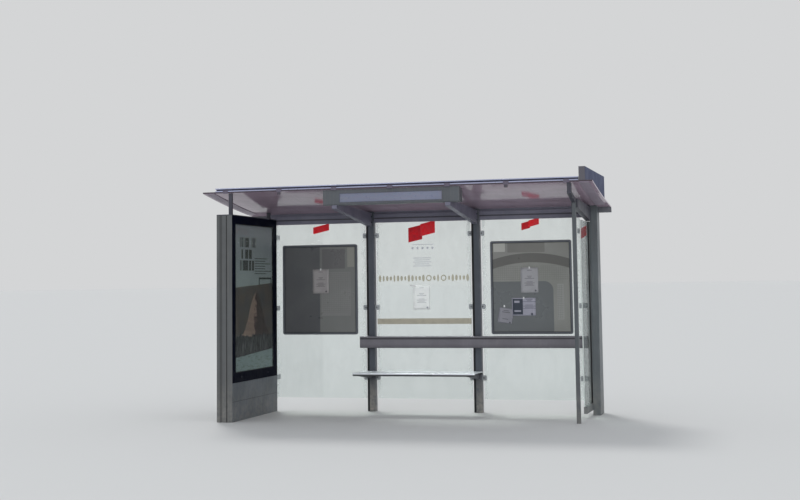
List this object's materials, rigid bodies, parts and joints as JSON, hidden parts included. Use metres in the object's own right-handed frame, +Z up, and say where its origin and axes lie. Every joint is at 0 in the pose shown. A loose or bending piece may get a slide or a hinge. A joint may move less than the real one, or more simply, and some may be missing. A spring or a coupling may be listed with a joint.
{
  "type": "bus shelter with poster case",
  "caption": "Open-fronted bus shelter with a sloping roof, glazed back, bench, lean rail and a poster case at one end",
  "frame": {"origin": "on the ground, under the middle of the shelter's outline", "axes": "+X along the road towards the end with the side pane, +Y from the road to the glazed back, +Z up"},
  "size_m": [4.56, 1.755, 2.788],
  "materials": {
    "grey_metal": "satin grey powder coat",
    "light_metal": "satin anodised",
    "dark_metal": "satin dark grey powder coat",
    "black_frame": "semi-gloss black",
    "clear_glass": "clear toughened glass",
    "poster": "printed paper",
    "roof": "glossy tinted sheet",
    "pale_panel": "pale translucent panel",
    "board": "matt printed board",
    "seat": "brushed"
  },
  "bodies": {
    "root": {"case_core": "grey_metal", "case_front_profile": "light_metal", "case_rear_profile": "light_metal", "case_cap": "light_metal", "case_base_panels": "grey_metal", "case_door_inner": "black_frame", "case_door_outer": "black_frame", "case_glass": "clear_glass", "poster_sheets": "poster", "case_roof_stubs": "dark_metal", "case_back_bracket": "dark_metal", "post_left": "grey_metal", "post_right": "grey_metal", "end_post": "grey_metal", "front_post": "light_metal", "front_post_head": "dark_metal", "beam_left": "grey_metal", "beam_middle": "grey_metal", "beam_right": "grey_metal", "roof_sheet": "roof", "roof_end_trims": "grey_metal", "front_rail": "light_metal", "rail_clips": "grey_metal", "rear_gutter": "grey_metal", "roof_end_panel": "pale_panel", "arm_left": "dark_metal", "arm_right": "dark_metal", "light_box_body": "grey_metal", "light_box_ends": "grey_metal", "light_box_strip": "pale_panel", "pane_left": "clear_glass", "pane_middle": "clear_glass", "pane_right": "clear_glass", "pane_clamps": "dark_metal", "side_pane": "clear_glass", "side_pane_channel": "light_metal", "side_pane_rail": "grey_metal", "board_left": "board", "board_frame_left": "light_metal", "board_right": "board", "board_frame_right": "light_metal", "lean_rail": "light_metal", "lean_rail_brackets": "dark_metal", "bench_seat": "seat", "bench_brackets": "dark_metal"}
  },
  "joints": []
}
